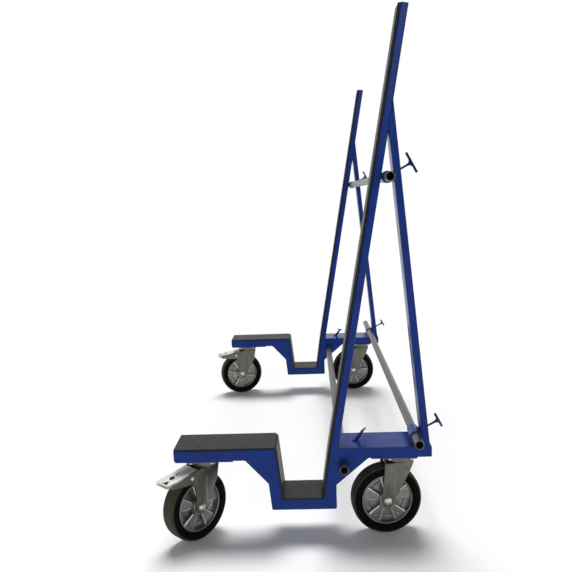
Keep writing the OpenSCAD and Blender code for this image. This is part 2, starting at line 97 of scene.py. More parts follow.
# Length of each clamp screw from the tube's middle to its grip
SCREW_REACH = {"upper": 76 * MM, "rear": 76 * MM, "front": 99 * MM}
# Turn of each wheel about its axle, in degrees
WHEEL_TURN = {
    ("near", "front"): -2, ("near", "rear"): 0, ("far", "front"): 20, ("far", "rear"): 40,
}


# ---- Mesh building ----

def linked(name, data):
    """A new object in the scene."""
    obj = bpy.data.objects.new(name, data)
    bpy.context.scene.collection.objects.link(obj)
    return obj


def mesh_part(mesh):
    """The mesh as vertices and faces."""
    return [tuple(v.co) for v in mesh.vertices], [list(p.vertices) for p in mesh.polygons]


def cleaned(mesh):
    """Joins the mesh's touching vertices and turns its faces outward."""
    bm = bmesh.new()
    bm.from_mesh(mesh)
    bmesh.ops.remove_doubles(bm, verts=bm.verts, dist=MERGE)
    bmesh.ops.recalc_face_normals(bm, faces=bm.faces)
    bm.to_mesh(mesh)
    bm.free()
    return mesh


class Shape:
    """Vertices and faces gathered from several parts of one piece."""

    def __init__(self):
        self.verts, self.faces = [], []

    def add(self, part, at=None):
        verts, faces = part
        start = len(self.verts)
        at = at or Matrix.Identity(4)
        self.verts += [at @ Vector(v) for v in verts]
        self.faces += [[i + start for i in f] for f in faces]
        return self

    def mesh(self, name, slot, sharp=32):
        mesh = bpy.data.meshes.new(name)
        mesh.from_pydata(self.verts, [], self.faces)
        return finish_mesh(mesh, slot, sharp)


def finish_mesh(mesh, slot, sharp=32):
    """Smooth shading with sharp edges past an angle, and the slot's material."""
    cleaned(mesh)
    mesh.polygons.foreach_set("use_smooth", [True] * len(mesh.polygons))
    mesh.set_sharp_from_angle(angle=math.radians(sharp))
    mesh.materials.clear()
    mesh.materials.append(MATERIALS[slot])
    return mesh


def grid_faces(rows, columns, closed_rows=False, closed_columns=True):
    """Quads of a grid of points stored row by row."""
    faces = []
    for i in range(rows if closed_rows else rows - 1):
        for k in range(columns if closed_columns else columns - 1):
            i2, k2 = (i + 1) % rows, (k + 1) % columns
            faces.append([i * columns + k, i * columns + k2, i2 * columns + k2, i2 * columns + k])
    return faces


def capped_faces(rows, columns):
    """Quads between stacked rings of points, with both ends closed."""
    ends = [list(range(columns)), list(range(rows * columns - 1, (rows - 1) * columns - 1, -1))]
    return grid_faces(rows, columns) + ends


def moved(part, at):
    """The part's vertices and faces at a matrix."""
    return [at @ Vector(v) for v in part[0]], part[1]


def polar(r, angle, z):
    """A point at an angle in degrees about Z."""
    return r * math.cos(math.radians(angle)), r * math.sin(math.radians(angle)), z


def lathe(profile, steps=64, closed=False):
    """A surface of revolution about Z from (radius, height) points."""
    angles = [2 * math.pi * k / steps for k in range(steps)]
    verts = [(r * math.cos(a), r * math.sin(a), z) for r, z in profile for a in angles]
    return verts, grid_faces(len(profile), steps, closed_rows=closed)


def rod(radius, low, high, steps=32):
    """A cylinder along Z."""
    return lathe([(0, low), (radius, low), (radius, high), (0, high)], steps)


def prism(outline, y0, y1):
    """An XZ outline as a closed solid from y0 to y1."""
    verts = [(x, y, z) for y in (y0, y1) for x, z in outline]
    return verts, capped_faces(2, len(outline))


def in_mm(points):
    """Points given in millimetres, in metres."""
    return [tuple(c * MM for c in point) for point in points]


def arc(cx, cz, r, start, end, steps):
    """Points on an arc, its angles in degrees."""
    out = []
    for k in range(steps + 1):
        a = math.radians(start + (end - start) * k / steps)
        out.append((cx + r * math.cos(a), cz + r * math.sin(a)))
    return out


def rounded_box_outline(x0, x1, z0, z1, r):
    """A rectangle with rounded corners."""
    corners = ((x1 - r, z1 - r, 0), (x0 + r, z1 - r, 90), (x0 + r, z0 + r, 180), (x1 - r, z0 + r, 270))
    return [p for cx, cz, a in corners for p in arc(cx, cz, r, a, a + 90, 6)]


def scratch(part):
    """A temporary object for cutting and joining."""
    mesh = bpy.data.meshes.new("scratch")
    mesh.from_pydata([tuple(v) for v in part[0]], [], part[1])
    return linked("scratch", cleaned(mesh))


def evaluated(obj):
    """The object's mesh with its modifiers applied; the object is removed."""
    graph = bpy.context.evaluated_depsgraph_get()
    mesh = bpy.data.meshes.new_from_object(obj.evaluated_get(graph))
    bpy.data.objects.remove(obj)
    return mesh


def combine(base, others, operation):
    """Boolean of scratch objects, as vertices and faces."""
    for other in others:
        modifier = base.modifiers.new("cut", "BOOLEAN")
        modifier.operation, modifier.solver, modifier.object = operation, "EXACT", other
    mesh = evaluated(base)
    for other in others:
        bpy.data.objects.remove(other)
    part = mesh_part(mesh)
    bpy.data.meshes.remove(mesh)
    return part


def soften(mesh, width, angle=32):
    """Rounds the mesh's sharp edges."""
    obj = linked("soften", mesh)
    bevel = obj.modifiers.new("edges", "BEVEL")
    bevel.width, bevel.segments = width, 2
    bevel.limit_method, bevel.angle_limit = "ANGLE", math.radians(angle)
    bevel.harden_normals = True
    bevel.use_clamp_overlap = True
    name = mesh.name
    out = evaluated(obj)
    bpy.data.meshes.remove(mesh)
    out.name = name
    return out


def refined(node, width):
    """The CAD node's shape with clean faces and softly rounded edges."""
    verts, faces = mesh_part(frame["nodes"][node].data)
    mesh = bpy.data.meshes.new(node + "_fine")
    mesh.from_pydata(verts, [], faces)
    bm = bmesh.new()
    bm.from_mesh(mesh)
    bmesh.ops.remove_doubles(bm, verts=bm.verts, dist=CAD_MERGE)
    bmesh.ops.dissolve_degenerate(bm, edges=bm.edges, dist=CAD_MERGE / 2)
    bmesh.ops.dissolve_limit(bm, angle_limit=FLAT_ANGLE, verts=bm.verts, edges=bm.edges)
    bm.to_mesh(mesh)
    bm.free()
    return soften(finish_mesh(mesh, SLOT_OF[node]), width)


def place(mesh, name, at, body, replaces=()):
    """A piece that shows the mesh at a matrix and rides on a CAD body.

    The turn goes into the mesh, so that the piece's box is measured along the scene's axes."""
    shift = Matrix.Translation(at.translation)
    turn = shift.inverted() @ at
    if turn.to_quaternion().angle > 1e-6:
        mesh = mesh.copy()
        mesh.transform(turn)
    obj = linked(name, mesh)
    obj.matrix_world = shift
    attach(obj, body)
    if replaces:
        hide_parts(*replaces)


def frame_at(side):
    """From the near frame's place to this side frame's."""
    return Matrix.Translation((0, SPACING if side == "far" else 0, 0))


# ---- Materials ----

def map_range(tree, value, low, high, to_low, to_high):
    """A value from low to high, spread from to_low to to_high."""
    node = tree.nodes.new("ShaderNodeMapRange")
    limits = {"From Min": low, "From Max": high, "To Min": to_low, "To Max": to_high}
    for key, limit in limits.items():
        node.inputs[key].default_value = limit
    tree.links.new(value, node.inputs["Value"])
    return node.outputs["Result"]


class Look:
    """A procedural material on the Principled shader."""

    def __init__(self, name, roughness, metallic=0.0, stretch=(1, 1, 1)):
        self.material = bpy.data.materials.new(name)
        self.material.use_nodes = True
        self.tree = self.material.node_tree
        self.shader = self.tree.nodes["Principled BSDF"]
        self.shader.inputs["Roughness"].default_value = roughness
        self.shader.inputs["Metallic"].default_value = metallic
        coordinates = self.tree.nodes.new("ShaderNodeTexCoord")
        self.mapping = self.tree.nodes.new("ShaderNodeMapping")
        self.mapping.inputs["Scale"].default_value = stretch
        self.link(coordinates.outputs["Object"], self.mapping.inputs["Vector"])
        self.normal = None

    def link(self, a, b):
        self.tree.links.new(a, b)

    def noise(self, scale, detail=3.0, rough=0.55, distortion=0.0):
        node = self.tree.nodes.new("ShaderNodeTexNoise")
        node.inputs["Scale"].default_value = scale
        node.inputs["Detail"].default_value = detail
        node.inputs["Roughness"].default_value = rough
        node.inputs["Distortion"].default_value = distortion
        self.link(self.mapping.outputs["Vector"], node.inputs["Vector"])
        return node.outputs["Fac"]

    def length(self):
        """Distance from the object's own origin."""
        node = self.tree.nodes.new("ShaderNodeVectorMath")
        node.operation = "LENGTH"
        self.link(self.mapping.outputs["Vector"], node.inputs[0])
        return node.outputs["Value"]

    def spread(self, fac, low, high, to_low=0.0, to_high=1.0):
        return map_range(self.tree, fac, low, high, to_low, to_high)

    def tint(self, fac, dark, light):
        """A colour between two, each of them a colour or another node's output."""
        node = self.tree.nodes.new("ShaderNodeMix")
        node.data_type = "RGBA"
        for key, value in (("A", dark), ("B", light)):
            socket = [s for s in node.inputs if s.name == key and s.type == "RGBA"][0]
            if isinstance(value, tuple):
                socket.default_value = (*value, 1)
            else:
                self.link(value, socket)
        self.link(fac, node.inputs[0])
        return [s for s in node.outputs if s.type == "RGBA"][0]

    def specular(self, level):
        self.shader.inputs["Specular IOR Level"].default_value = level

    def colour(self, output):
        self.link(output, self.shader.inputs["Base Color"])

    def roughness(self, output):
        self.link(output, self.shader.inputs["Roughness"])

    def bump(self, height, distance):
        node = self.tree.nodes.new("ShaderNodeBump")
        node.inputs["Strength"].default_value = 1
        node.inputs["Distance"].default_value = distance
        self.link(height, node.inputs["Height"])
        if self.normal:
            self.link(self.normal, node.inputs["Normal"])
        self.normal = node.outputs["Normal"]
        self.link(self.normal, self.shader.inputs["Normal"])


def scaled(colour, k):
    return tuple(min(c * k, 1.0) for c in colour)


def powder_coat(name, colour):
    """Gloss powder coat: orange peel, faint clouding and light scuffs."""
    look = Look(name, 0.3)
    clouds = look.noise(18, 3)
    base = look.tint(look.spread(clouds, 0.35, 0.65), scaled(colour, 0.88), scaled(colour, 1.12))
    scuffs = look.spread(look.noise(260, 6, 0.7, 0.6), 0.68, 0.8)
    look.colour(look.tint(scuffs, base, scaled(colour, 1.35)))
    look.roughness(look.spread(look.noise(70, 4), 0.3, 0.7, 0.16, 0.28))
    look.bump(look.noise(30, 2), 0.00035)
    look.bump(look.noise(850, 2), 0.00004)
    look.specular(0.16)
    return look.material


def pad_rubber(name, dark, light):
    """Matt rubber with a fine grain, a little dust and rubbed patches."""
    look = Look(name, 0.8)
    dust = look.spread(look.noise(24, 5, 0.6), 0.35, 0.7)
    grain = look.noise(1500, 3, 0.6)
    look.colour(look.tint(dust, dark, light))
    look.roughness(look.spread(look.noise(90, 4), 0.3, 0.7, 0.36, 0.55))
    look.bump(look.noise(160, 3), 0.00020)
    look.bump(grain, 0.00012)
    look.specular(0.24)
    return look.material


def drawn_steel(name, dark, light, stretch):
    """Drawn tube: streaks along its length and dull patches of scale."""
    look = Look(name, 0.35, 0.9, stretch)
    streaks = look.noise(420, 5, 0.65)
    patches = look.noise(60, 4, 0.6)
    tone = look.tint(look.spread(streaks, 0.3, 0.7), dark, light)
    look.colour(look.tint(look.spread(patches, 0.62, 0.8), tone, scaled(dark, 0.6)))
    look.roughness(look.spread(streaks, 0.25, 0.75, 0.26, 0.48))
    look.bump(streaks, 0.00005)
    return look.material


def zinc_plate(name, dark, light, rough=(0.24, 0.42)):
    """Zinc plate on pressed steel: soft mottling, fine scratches and dents."""
    look = Look(name, 0.32, 0.92)
    mottle = look.noise(55, 5, 0.62, 0.5)
    fine = look.noise(900, 3)
    tone = look.tint(look.spread(mottle, 0.3, 0.7), dark, light)
    marks = look.spread(look.noise(330, 7, 0.75, 1.5), 0.66, 0.72)
    look.colour(look.tint(marks, tone, scaled(light, 1.35)))
    look.roughness(look.spread(mottle, 0.25, 0.75, *rough))
    look.bump(look.noise(35, 2), 0.0004)
    look.bump(fine, 0.00002)
    return look.material


def cast_metal(name, dark, light):
    """Cast aluminium: sandy grain, pits and a slightly darker skin in places."""
    look = Look(name, 0.38, 0.8)
    skin = look.noise(80, 5, 0.6)
    look.colour(look.tint(look.spread(skin, 0.3, 0.7), dark, light))
    look.roughness(look.spread(look.noise(300, 4), 0.3, 0.7, 0.24, 0.4))
    look.bump(look.noise(1100, 3, 0.6), 0.00006)
    look.bump(look.noise(120, 3), 0.0002)
    return look.material


def highlight_metal(name, dark, light):
    """Light metal that stands in for lighting: painted highlights on the rims' edges and painted reflection on the
    pedal's tread plate.
    """
    look = Look(name, 0.3, 0.3)
    look.colour(look.tint(look.spread(look.noise(150, 4, 0.6), 0.3, 0.7), dark, light))
    look.roughness(look.spread(look.noise(400, 3), 0.3, 0.7, 0.22, 0.38))
    look.bump(look.noise(900, 3, 0.6), 0.00005)
    return look.material


def solid_tyre(name, dark, light, tread):
    """Tyre rubber: dark sides with a moulded grain, a dusty worn tread."""
    look = Look(name, 0.6)
    wear = look.noise(40, 5, 0.65)
    side = look.tint(look.spread(wear, 0.35, 0.7), dark, light)
    dust = look.tint(look.spread(wear, 0.3, 0.7), scaled(tread, 0.75), scaled(tread, 1.2))
    runs = look.spread(look.length(), WHEEL_R - 5 * MM, WHEEL_R - 1.5 * MM)
    look.colour(look.tint(runs, side, dust))
    look.roughness(look.spread(look.noise(120, 4), 0.3, 0.7, 0.5, 0.75))
    look.bump(look.noise(700, 4, 0.65), 0.00012)
    look.bump(look.noise(60, 3), 0.0003)
    look.specular(0.06)
    return look.material


def moulded_plastic(name, colour):
    """Black plastic with a fine sparked texture."""
    look = Look(name, 0.5)
    look.specular(0.15)
    look.colour(look.tint(look.noise(200, 3), scaled(colour, 0.8), scaled(colour, 1.3)))
    look.roughness(look.spread(look.noise(500, 3), 0.3, 0.7, 0.42, 0.6))
    look.bump(look.noise(1600, 2), 0.00006)
    return look.material


MATERIALS = {
    "frame_paint": powder_coat("frame_paint", (0.004, 0.028, 0.187)),
    "screw_paint": powder_coat("screw_paint", (0.004, 0.015, 0.085)),
    "rubber_pad": pad_rubber("rubber_pad", (0.004, 0.004, 0.0036), (0.012, 0.0117, 0.01)),
    "cap_plastic": moulded_plastic("cap_plastic", (0.006, 0.006, 0.007)),
    "tube_steel": drawn_steel("tube_steel", (0.09, 0.088, 0.082), (0.20, 0.195, 0.185), (1, 0.03, 1)),
    "zinc_sheet": zinc_plate("zinc_sheet", (0.107, 0.107, 0.09), (0.17, 0.17, 0.147)),
    "zinc_bolt": zinc_plate("zinc_bolt", (0.50, 0.50, 0.47), (0.74, 0.74, 0.70), (0.10, 0.2)),
    "bearing_steel": zinc_plate("bearing_steel", (0.05, 0.05, 0.05), (0.14, 0.14, 0.14), (0.2, 0.35)),
    "cast_rim": cast_metal("cast_rim", (0.185, 0.185, 0.174), (0.27, 0.27, 0.254)),
    # The pedal's zinc, far lighter than the forks' zinc: painted reflection of the bright overhead on its tread
    # plate
    "pedal_highlight_zinc": highlight_metal("pedal_highlight_zinc", (0.70, 0.70, 0.66), (0.88, 0.88, 0.84)),
    # Light metal for the strips of painted highlight on the rims
    "rim_highlight_paint": highlight_metal("rim_highlight_paint", (0.78, 0.78, 0.76), (0.92, 0.92, 0.90)),
    "tyre": solid_tyre("tyre", (0.0012, 0.0012, 0.001), (0.004, 0.004, 0.0033), (0.05, 0.05, 0.036)),
}


# ---- Side frames ----

# Spacing of the ripples along a weld
RIPPLE_PITCH = 2.6 * MM


def weld_bead(points, radius):
    """A rippled bead of weld along a line of points."""
    points = [Vector(p) for p in points]
    stations = []
    for a, b in zip(points, points[1:]):
        count = max(2, round((b - a).length / (RIPPLE_PITCH / 4)))
        stations += [a.lerp(b, k / count) for k in range(count)]
    stations.append(points[-1])
    sides, verts = 8, []
    for i, p in enumerate(stations):
        along = stations[min(i + 1, len(stations) - 1)] - stations[max(i - 1, 0)]
        along.normalize()
        u = along.orthogonal().normalized()
        v = along.cross(u)
        swell = 1 + 0.16 * math.cos(2 * math.pi * i / 4) + 0.07 * math.sin(1.7 * i)
        end = 0.35 if i in (0, len(stations) - 1) else 1
        for k in range(sides):
            a = 2 * math.pi * k / sides
            verts.append(p + (u * math.cos(a) + v * math.sin(a)) * radius * swell * end)
    return verts, capped_faces(len(stations), sides)


def cut_tube(outline, along, across, start, planes):
    """A bar of the given cross outline between two planes (point, normal)."""
    verts = []
    for point, normal in planes:
        for u, w in outline:
            base = start + across * u + Vector((0, w, 0))
            t = (point - base).dot(normal) / along.dot(normal)
            verts.append(base + along * t)
    return verts, capped_faces(2, len(outline))


# Mast and strut lines, in the near frame's place
MAST_ALONG = Vector((math.sin(MAST_LEAN), 0, math.cos(MAST_LEAN)))
MAST_ACROSS = Vector((math.cos(MAST_LEAN), 0, -math.sin(MAST_LEAN)))
STRUT_ALONG = Vector((-math.sin(STRUT_LEAN), 0, math.cos(STRUT_LEAN)))
STRUT_ACROSS = Vector((math.cos(STRUT_LEAN), 0, math.sin(STRUT_LEAN)))
MAST_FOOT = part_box("near_mast")[0]
STRUT_FOOT = Vector((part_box("near_strut")[1].x - BAR_D / math.cos(STRUT_LEAN), MAST_FOOT.y, DECK))
UP = Vector((0, 0, 1))
BAR_OUTLINE = rounded_box_outline(0, BAR_D, 0, BAR_W, BAR_CORNER_R)


def mast_mesh():
    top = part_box("near_mast")[1].z
    front_top = MAST_FOOT + MAST_ALONG * ((top - DECK) / MAST_ALONG.z)
    planes = (MAST_FOOT, UP), (front_top, MAST_ALONG)
    tube = cut_tube(BAR_OUTLINE, MAST_ALONG, MAST_ACROSS, MAST_FOOT, planes)
    return Shape().add(tube).mesh("mast_tube", "frame_paint")


def screw_hole(which, radius):
    """A cutter along the near clamp screw's axis."""
    joint = JOINTS[f"near_{which}_screw_turn"]
    at = Matrix.Translation(joint["pos_m"]) @ UP.rotation_difference(
        Vector(joint["axis"])).to_matrix().to_4x4()
    return scratch(moved(rod(radius, 0, SCREW_REACH[which]), at))


def strut_mesh():
    mast_back = MAST_FOOT + MAST_ACROSS * BAR_D
    planes = (STRUT_FOOT, UP), (mast_back, MAST_ACROSS)
    tube = cut_tube(BAR_OUTLINE, STRUT_ALONG, STRUT_ACROSS, STRUT_FOOT, planes)
    holes = [screw_hole(which, 3.6 * MM) for which in ("upper", "rear")]
    cut = combine(scratch(tube), holes, "DIFFERENCE")
    return Shape().add(cut).mesh("strut_tube", "frame_paint")


def frame_welds():
    """Beads at the feet of mast and strut, and along the sleeves."""
    shape, y0, y1 = Shape(), MAST_FOOT.y, MAST_FOOT.y + BAR_W
    foot_r, sleeve_r, start = 2.2 * MM, 1.8 * MM, y0 + 1 * MM
    z = DECK + 0.6 * MM
    rear = MAST_FOOT.x + BAR_D / math.cos(MAST_LEAN)
    shape.add(weld_bead([(rear, start, z), (rear, y1, z), (MAST_FOOT.x, y1, z)], foot_r))
    front = STRUT_FOOT.x
    shape.add(weld_bead([(front, start, z), (front, y1, z), (front + BAR_D, y1, z)], foot_r))
    for which in ("upper", "rear"):
        centre = Vector(JOINTS[f"near_{which}_screw_turn"]["pos_m"])
        lines = [(STRUT_ACROSS, -1)] + ([(MAST_ACROSS, 1)] if which == "upper" else [])
        for across, side in lines:
            toward = -across * side
            touch = centre + toward * SLEEVE_R
            tangent = Vector((-toward.z, 0, toward.x))
            for k in (-1, 1):
                p = touch + tangent * (5 * MM * k) - toward * 0.8 * MM
                ends = [(p.x, y0 + 4 * MM, p.z), (p.x, y1 - 4 * MM, p.z)]
                shape.add(weld_bead(ends, sleeve_r))
    return shape.mesh("welds", "frame_paint", 60)


def seam_welds():
    """Short beads where the folded skins meet the side plates, under the beams."""
    shape, length, inset = Shape(), 22 * MM, 0.6 * MM
    low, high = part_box("near_mount_plates")
    z = low.z + 4 * MM
    for x in (low.x + 14 * MM, low.x + 96 * MM, high.x - 110 * MM, high.x - 24 * MM):
        for y in (low.y + inset, high.y - inset):
            shape.add(weld_bead([(x, y, z), (x + length, y, z)], 1.7 * MM))
    return shape.mesh("seam_welds", "frame_paint", 60)


# Width of the rounded edges of each frame piece
FRAME_EDGES = {
    "side_plates": 0.8 * MM, "deck_skin": 0.6 * MM, "belly_skin": 0.6 * MM,
    "mount_plates": 0.7 * MM, "sleeves": 0.5 * MM, "platform_pad": 1.6 * MM,
    "well_pads": 1.0 * MM, "mast_strip": 1.4 * MM, "mast_cap": 0.8 * MM,
    "caster_bolts": 0.5 * MM,
}


def build_frames():
    meshes = {key: refined("near_" + key, width) for key, width in FRAME_EDGES.items()}
    meshes["mast"], meshes["strut"] = mast_mesh(), strut_mesh()
    for side in SIDES:
        for key, mesh in meshes.items():
            node = f"{side}_{key}"
            place(mesh, node + "_v", frame_at(side), side + "_frame", [node])
    welds = frame_welds(), seam_welds()
    for side in SIDES:
        for mesh in welds:
            place(mesh, f"{side}_{mesh.name}", frame_at(side), side + "_frame")


# ---- Cross tubes ----

def build_tubes():
    for which in ("upper", "rear", "front"):
        node = which + "_cross_tube"
        low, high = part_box(node)
        c, half = 0.7 * MM, (high.y - low.y) / 2
        ring = [(TUBE_BORE + c, -half), (TUBE_R - c, -half), (TUBE_R, -half + c),
                (TUBE_R, half - c), (TUBE_R - c, half), (TUBE_BORE + c, half),
                (TUBE_BORE, half - c), (TUBE_BORE, -half + c)]
        mesh = Shape().add(lathe(ring, 96, closed=True), Matrix.Rotation(math.radians(90), 4, "X"))
        place(mesh.mesh(node + "_v", "tube_steel"), node + "_v",
              Matrix.Translation((low + high) / 2), node, [node])


# ---- Clamp screws ----

def threaded_rod(radius, low, high):
    """A rod with a helical thread."""
    pitch, depth, steps = 1 * MM, 0.32 * MM, 28
    rows = int((high - low) / (pitch / 5)) + 1
    verts = []
    for i in range(rows):
        z = low + (high - low) * i / (rows - 1)
        for k in range(steps):
            turn = k / steps
            wave = abs(((z / pitch - turn) % 1.0) * 2 - 1)
            r = radius - depth * wave
            verts.append((r * math.cos(2 * math.pi * turn), r * math.sin(2 * math.pi * turn), z))
    return verts, capped_faces(rows, steps)


def screw_mesh(which):
    """Threaded spindle, tapering web and T bar with rounded ends."""
    reach = SCREW_REACH[which]
    half, grip_r, spindle_r = 30 * MM, 3.5 * MM, 3 * MM
    web_half, web_t, tube_gap, end_r = 12 * MM, 5 * MM, 12.8 * MM, 1.6 * MM
    bottom = reach - grip_r - 9 * MM
    shape = Shape().add(threaded_rod(spindle_r, tube_gap, bottom + 2 * MM))
    web_r = web_half - spindle_r
    left = arc(-web_half, bottom, web_r, 0, 90, 12)
    right = arc(web_half, bottom, web_r, 90, 180, 12)
    web = left + [(-web_half, reach), (web_half, reach)] + right
    core = lathe([(0, bottom - 1 * MM), (3.2 * MM, bottom - 1 * MM),
                  (3.6 * MM, bottom + 4 * MM), (2.6 * MM, reach), (0, reach)], 24)
    ends = arc(half - end_r, 0, end_r, 0, 90, 4)
    cap = [(0, half)] + [(grip_r - end_r + z, x) for x, z in ends]
    bar = cap + [(r, -z) for r, z in reversed(cap)]
    shape.add(lathe(bar, 40), Matrix.Translation((0, 0, reach)) @ Matrix.Rotation(math.radians(90), 4, "Y"))
    shape.add(core)
    plate = Shape().add(prism(web, -web_t / 2, web_t / 2)).mesh("web", "screw_paint")
    shape.add(mesh_part(soften(plate, 0.9 * MM)))
    return shape.mesh("clamp_screw_" + which, "screw_paint", 36)


def build_screws():
    for which in SCREW_REACH:
        mesh = screw_mesh(which)
        for side in SIDES:
            joint = JOINTS[f"{side}_{which}_screw_turn"]
            z, y = Vector(joint["axis"]), Vector((0, 1, 0))
            basis = Matrix((y.cross(z), y, z)).transposed().to_4x4()
            at = Matrix.Translation(joint["pos_m"]) @ basis
            at = at @ Matrix.Rotation(math.radians(GRIP_TURN[side, which]), 4, "Z")
            node = f"{side}_{which}_screw"
            place(mesh, node + "_v", at, node, [node])


# ---- Casters ----

def fork_at(side, end):
    """The swivel axis on the floor, turned with the fork."""
    pivot = JOINTS[f"{side}_{end}_swivel"]["pos_m"]
    axis = JOINTS[f"{side}_{end}_wheel_spin"]["axis"]
    turn = math.atan2(-axis[0], axis[1])
    return Matrix.Translation((pivot[0], pivot[1], 0)) @ Matrix.Rotation(turn, 4, "Z")


def smooth_step(x, a, b):
    t = min(max((x - a) / (b - a), 0.0), 1.0)
    return t * t * (3 - 2 * t)


# The cheeks' lower end before they are cut to shape, their top bend and the inward flange
CHEEK_FOOT = 78 * MM
CHEEK_BEND = 3.6 * MM
FLANGE = 3.7 * MM
# How far a cheek is pressed in, and from where to where its crease runs
PRESS = 1.4 * MM
CREASE = (-21.5 * MM, -15 * MM)


def pressed_half(x):
    """Half the fork's width: its cheek is pressed in ahead of a crease."""
    return CHEEK_Y - PRESS * smooth_step(x, *CREASE)


def cheek_part(stations, top_of):
    """One cheek with its rounded top bend and inward flange, swept along X."""
    verts, steps = [], 8
    for x in stations:
        half, top = pressed_half(x), top_of(x)
        y0, z0 = half - CHEEK_BEND, top - CHEEK_BEND
        outer = [(half, CHEEK_FOOT)] + arc(y0, z0, CHEEK_BEND, 0, 90, steps)
        inner = [(half - CROWN_T, CHEEK_FOOT)] + arc(y0, z0, CHEEK_BEND - CROWN_T, 0, 90, steps)
        outer.append((half - FLANGE, top))
        inner.append((half - FLANGE, top - CROWN_T))
        verts += [(x, y, z) for y, z in outer + inner[::-1]]
    n = len(verts) // len(stations)
    faces = grid_faces(len(stations), n)
    for base in (0, len(verts) - n):
        for i in range(n // 2 - 1):
            faces.append([base + i, base + i + 1, base + n - 2 - i, base + n - 1 - i])
    return verts, faces


def lobe():
    """Points round the fork's foot, clockwise."""
    return arc(AXLE_X, WHEEL_R, LOBE_R, -30, -187, 20)


def fork_body(outline, low_x, high_x, top_of, crown):
    """The pressed fork: two cheeks cut to their outline and the crown between them.

    The cheeks are swept from low_x to high_x; crown holds the crown plate's two ends along X."""
    count, overlap, blank_half = 60, 0.8 * MM, 50 * MM
    stations = [low_x + (high_x - low_x) * k / count for k in range(count + 1)]
    side = cheek_part(stations, top_of)
    other = [(x, -y, z) for x, y, z in side[0]], side[1]
    blank = prism(outline, -blank_half, blank_half)
    halves = [combine(scratch(part), [scratch(blank)], "INTERSECT") for part in (side, other)]
    reach = CHEEK_Y - CROWN_T + overlap
    z0, z1 = CROWN_TOP - CROWN_T, CROWN_TOP
    plate = [(crown[0], z0), (crown[1], z0), (crown[1], z1), (crown[0], z1)]
    return combine(scratch(prism(plate, -reach, reach)), [scratch(h) for h in halves], "UNION")


def plain_outline():
    """A rear fork's cheek from the side, over a blank that its top is cut from."""
    points = [(-45, 240), (35, 240), (35, 211), (24.6, 185.4), (-9, 122.4)]
    return in_mm(points) + lobe() + in_mm([(-50, 161)])


def brake_outline():
    """A front fork's cheek, with the arm that carries the pedal."""
    points = [(-150, 240), (30, 240), (30, 211), (22, 167), (-5, 123)]
    tail = [(-55, 151), (-56.2, 163), (-58.5, 170), (-62, 174), (-67, 176.3),
            (-134, 184.3), (-139, 186), (-141, 190), (-150, 194)]
    return in_mm(points) + lobe() + in_mm(tail)


# Where the plain fork's crown steps up
CROWN_STEP = (-22 * MM, -12 * MM)


def plain_top(x):
    """Height of the plain fork's crown: it steps up ahead of the crease."""
    return CROWN_TOP + CROWN_RISE * smooth_step(x, *CROWN_STEP)


def brake_top(x):
    """Height of the brake fork's arms and crown, along a line of (X, Z) points in millimetres."""
    line = ((-150, 192.8), (-112, 201), (-74, 208.5), (-29, 215), (-4, 217.5), (40, 218))
    for (x0, z0), (x1, z1) in zip(line, line[1:]):
        if x <= x1 * MM:
            return (z0 + (z1 - z0) * (x / MM - x0) / (x1 - x0)) * MM
    return line[-1][1] * MM


def drum_part():
    """The swivel head's lower race: a flanged, rounded cup."""
    z0, z1, r, edge_r, floor_z = CROWN_TOP - 1 * MM, DRUM_TOP, DRUM_R, 3 * MM, CROWN_TOP + 2 * MM
    rim = arc(r - edge_r, z1 - edge_r, edge_r, 0, 90, 6)
    foot = [(r - down, z0 + up) for down, up in in_mm([(3.5, 0), (3.5, 2), (1.5, 4), (0, 5.5)])]
    inside = [(r - 5 * MM, z1 - 1.5 * MM), (r - 6 * MM, floor_z), (0, floor_z)]
    return lathe([(0, z0)] + foot + rim + inside, 96)


def rivet(x, y, z):
    """A domed rivet head on the cheek's outer face."""
    r, h = 5 * MM, 1.6 * MM
    dome = [(0, h)] + [(r * math.sin(a), h * math.cos(a)) for a in (0.35, 0.7, 1.05, 1.35, 1.57)]
    turn = Matrix.Rotation(math.radians(-90 if y > 0 else 90), 4, "X")
    return moved(lathe(dome, 32), Matrix.Translation((x, y, z)) @ turn)


def fork_mesh(name, braked):
    """The pressed fork with its bores, and the swivel head's lower race."""
    if braked:
        body = fork_body(brake_outline(), -145 * MM, 32 * MM, brake_top, (-29 * MM, 30 * MM))
    else:
        body = fork_body(plain_outline(), -60 * MM, 37 * MM, plain_top, (-45 * MM, 35 * MM))
    across = Matrix.Translation((AXLE_X, 0, WHEEL_R)) @ Matrix.Rotation(math.radians(90), 4, "X")
    axle_bore = moved(rod(AXLE_BORE_R, -40 * MM, 40 * MM), across)
    pin_bore = rod(PIN_BORE_R, CROWN_TOP - 21 * MM, CROWN_TOP + 19 * MM)
    body = combine(scratch(body), [scratch(axle_bore), scratch(pin_bore)], "DIFFERENCE")
    mesh = soften(Shape().add(body).mesh(name + "_body", "zinc_sheet"), 0.7 * MM, 50)
    return Shape().add(mesh_part(mesh)).add(drum_part()).mesh(name, "zinc_sheet", 40)


# The pin that the pedal turns on, as X and Z
PEDAL_PIN = (-68 * MM, 194 * MM)


def pedal_slots():
    """Upright blocks where the tread plate's slots are: a triangle, a rhombus and a small triangle."""
    outlines = (((-146, -19), (-146, 4), (-129, -6)), ((-126, -4), (-115, 11), (-103, 4), (-113, -10)),
                ((-98, -2), (-98, 8), (-88, 3)))
    parts = []
    for outline in outlines:
        verts = in_mm([(x, y, z) for z in (185, 215) for x, y in outline])
        parts.append((verts, capped_faces(2, len(outline))))
    return parts


def pedal_shade_inlays_mesh():
    """Dark inlays in the tread plate's slots, just below its face: painted shade where the slots show the shade
    under the plate.
    """
    sheet = [(-147, 199.2), (-130, 201.2), (-103, 204.8), (-87, 207.1), (-87, 206), (-103, 203.6),
             (-130, 200), (-147, 198)]
    shape = Shape()
    for part in pedal_slots():
        blank = prism(in_mm(sheet), -30 * MM, 30 * MM)
        shape.add(combine(scratch(blank), [scratch(part)], "INTERSECT"))
    return shape.mesh("pedal_shade_inlays", "cap_plastic", 40)


